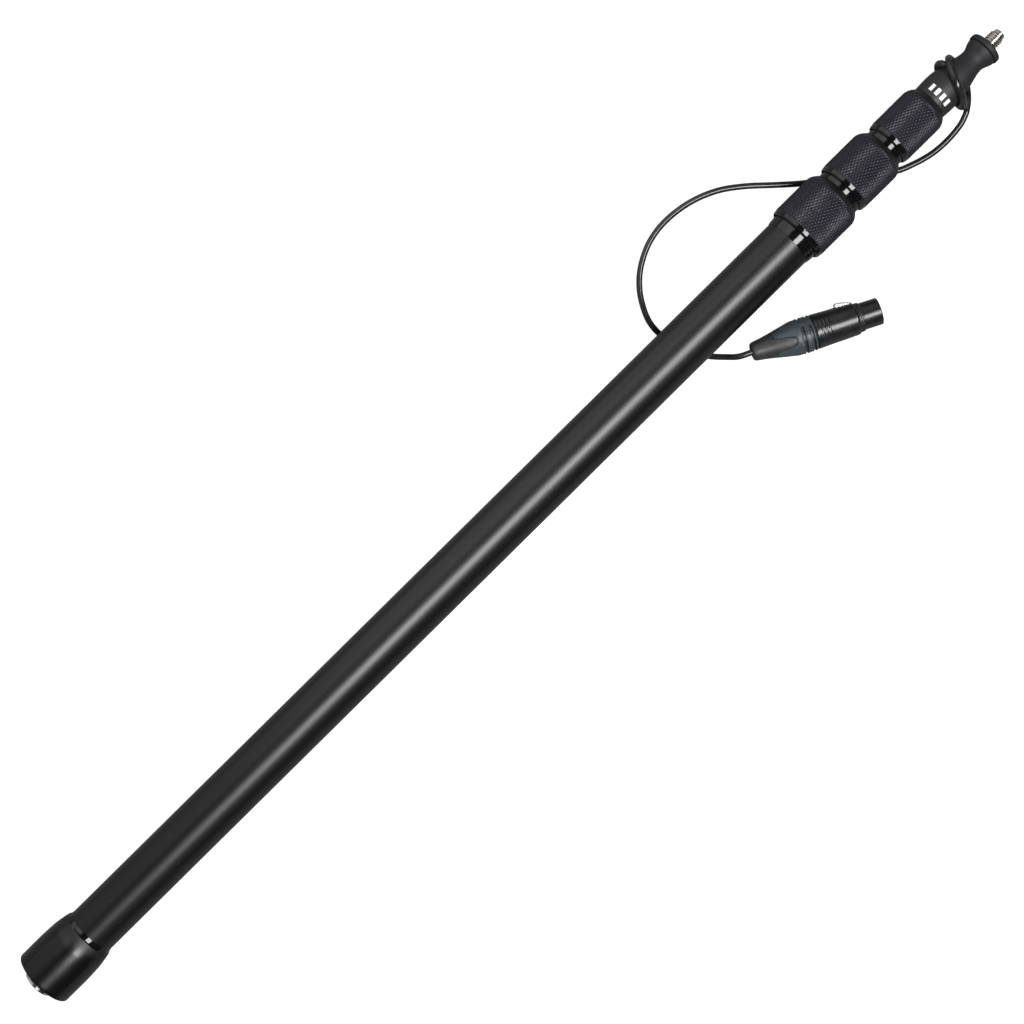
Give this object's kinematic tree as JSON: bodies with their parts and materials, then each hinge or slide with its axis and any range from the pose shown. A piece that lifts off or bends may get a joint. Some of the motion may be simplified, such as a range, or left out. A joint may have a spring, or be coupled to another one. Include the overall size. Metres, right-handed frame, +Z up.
{
  "type": "boom pole",
  "caption": "Telescopic microphone boom pole, closed, with knurled twist-lock collars, a flared butt that holds a connector, and a stud tip wrapped by a cable with a latching connector.",
  "frame": {"origin": "centre of the stud's flat end face, on the pole's axis; the pole runs from there towards -X", "axes": "+X along the pole from the butt to the tip, +Z up with the pole lying down, +Y to the side that the floor loop of the cable lies on"},
  "size_m": [0.8188, 0.1401, 0.0411],
  "materials": {
    "tube_anodised": "satin black anodised, finely drawn along its length",
    "cap_anodised": "satin black anodised, turned",
    "ferrule_polished": "polished black anodised",
    "collar_knurled": "black anodised with a fine diamond knurl",
    "nylon": "natural nylon",
    "connector_nickel": "nickel plated",
    "contact_gold": "gold plated",
    "insert_plastic": "black moulded plastic",
    "nut_plastic": "blue-grey moulded plastic",
    "boot_rubber": "matte black rubber",
    "neck_rubber": "fine-grained matte black",
    "cable_jacket": "glossy black jacket",
    "connector_shell": "semi-gloss black plated",
    "stud_steel": "turned stainless steel",
    "screw_steel": "blackened steel"
  },
  "bodies": {
    "main_tube": {"base_cap": "cap_anodised", "base_ferrule": "ferrule_polished", "base_connector_barrel": "connector_nickel", "base_connector_insert": "insert_plastic", "base_pin_1": "contact_gold", "base_pin_2": "contact_gold", "base_pin_3": "contact_gold", "connector_set_screw": "screw_steel", "base_lead": "cable_jacket", "tube_1": "tube_anodised", "ferrule_1": "ferrule_polished"},
    "lock_collar_1": {"collar_1": "collar_knurled"},
    "lock_collet_1": {"collet_1": "nylon"},
    "section_2": {"end_plug_2": "nylon", "tube_2": "tube_anodised", "ferrule_2": "ferrule_polished"},
    "lock_collar_2": {"collar_2": "collar_knurled"},
    "lock_collet_2": {"collet_2": "nylon"},
    "section_3": {"end_plug_3": "nylon", "tube_3": "tube_anodised", "ferrule_3": "ferrule_polished"},
    "lock_collar_3": {"collar_3": "collar_knurled"},
    "lock_collet_3": {"collet_3": "nylon"},
    "section_4": {"end_plug_4": "nylon", "tube_4": "tube_anodised", "tip_sleeve": "cap_anodised", "tip_head": "neck_rubber", "tip_washer": "neck_rubber", "tip_stud": "stud_steel", "coiled_cable": "cable_jacket", "tip_cable": "cable_jacket", "connector_boot": "boot_rubber", "connector_nut": "nut_plastic", "connector_chuck": "nylon", "connector_shell": "connector_shell", "connector_ring": "insert_plastic", "connector_insert": "insert_plastic", "connector_contact_1": "contact_gold", "connector_contact_2": "contact_gold", "connector_contact_3": "contact_gold"},
    "latch_lever": {"connector_latch": "connector_nickel"}
  },
  "joints": [
    {"name": "section_2_slide", "type": "slide", "parent": "main_tube", "child": "section_2", "axis": [1, 0, 0], "range_m": [0, 0.52], "deforming": ["coiled_cable"]},
    {"name": "section_3_slide", "type": "slide", "parent": "section_2", "child": "section_3", "axis": [1, 0, 0], "range_m": [0, 0.52], "deforming": ["coiled_cable"]},
    {"name": "section_4_slide", "type": "slide", "parent": "section_3", "child": "section_4", "axis": [1, 0, 0], "range_m": [0, 0.52], "deforming": ["coiled_cable"]},
    {"name": "collar_1_turn", "type": "hinge", "parent": "main_tube", "child": "lock_collar_1", "pos_m": [-0.1748, 0, 0], "axis": [1, 0, 0], "range_deg": [0, 150]},
    {"name": "collet_1_release", "type": "slide", "parent": "main_tube", "child": "lock_collet_1", "axis": [1, 0, 0], "range_m": [0, 0.00065]},
    {"name": "collar_2_turn", "type": "hinge", "parent": "section_2", "child": "lock_collar_2", "pos_m": [-0.1357, 0, 0], "axis": [1, 0, 0], "range_deg": [0, 150]},
    {"name": "collet_2_release", "type": "slide", "parent": "section_2", "child": "lock_collet_2", "axis": [1, 0, 0], "range_m": [0, 0.00065]},
    {"name": "collar_3_turn", "type": "hinge", "parent": "section_3", "child": "lock_collar_3", "pos_m": [-0.097, 0, 0], "axis": [1, 0, 0], "range_deg": [0, 150]},
    {"name": "collet_3_release", "type": "slide", "parent": "section_3", "child": "lock_collet_3", "axis": [1, 0, 0], "range_m": [0, 0.00065]},
    {"name": "latch_press", "type": "hinge", "parent": "section_4", "child": "latch_lever", "pos_m": [-0.17788, -0.05297, -0.0104], "axis": [0, 0, 1], "range_deg": [0, 7]}
  ],
  "couplings": [
    {"joint": "collet_1_release", "follows": "collar_1_turn", "m_per_rad": 0.00023873},
    {"joint": "collet_2_release", "follows": "collar_2_turn", "m_per_rad": 0.00023873},
    {"joint": "collet_3_release", "follows": "collar_3_turn", "m_per_rad": 0.00023873}
  ]
}
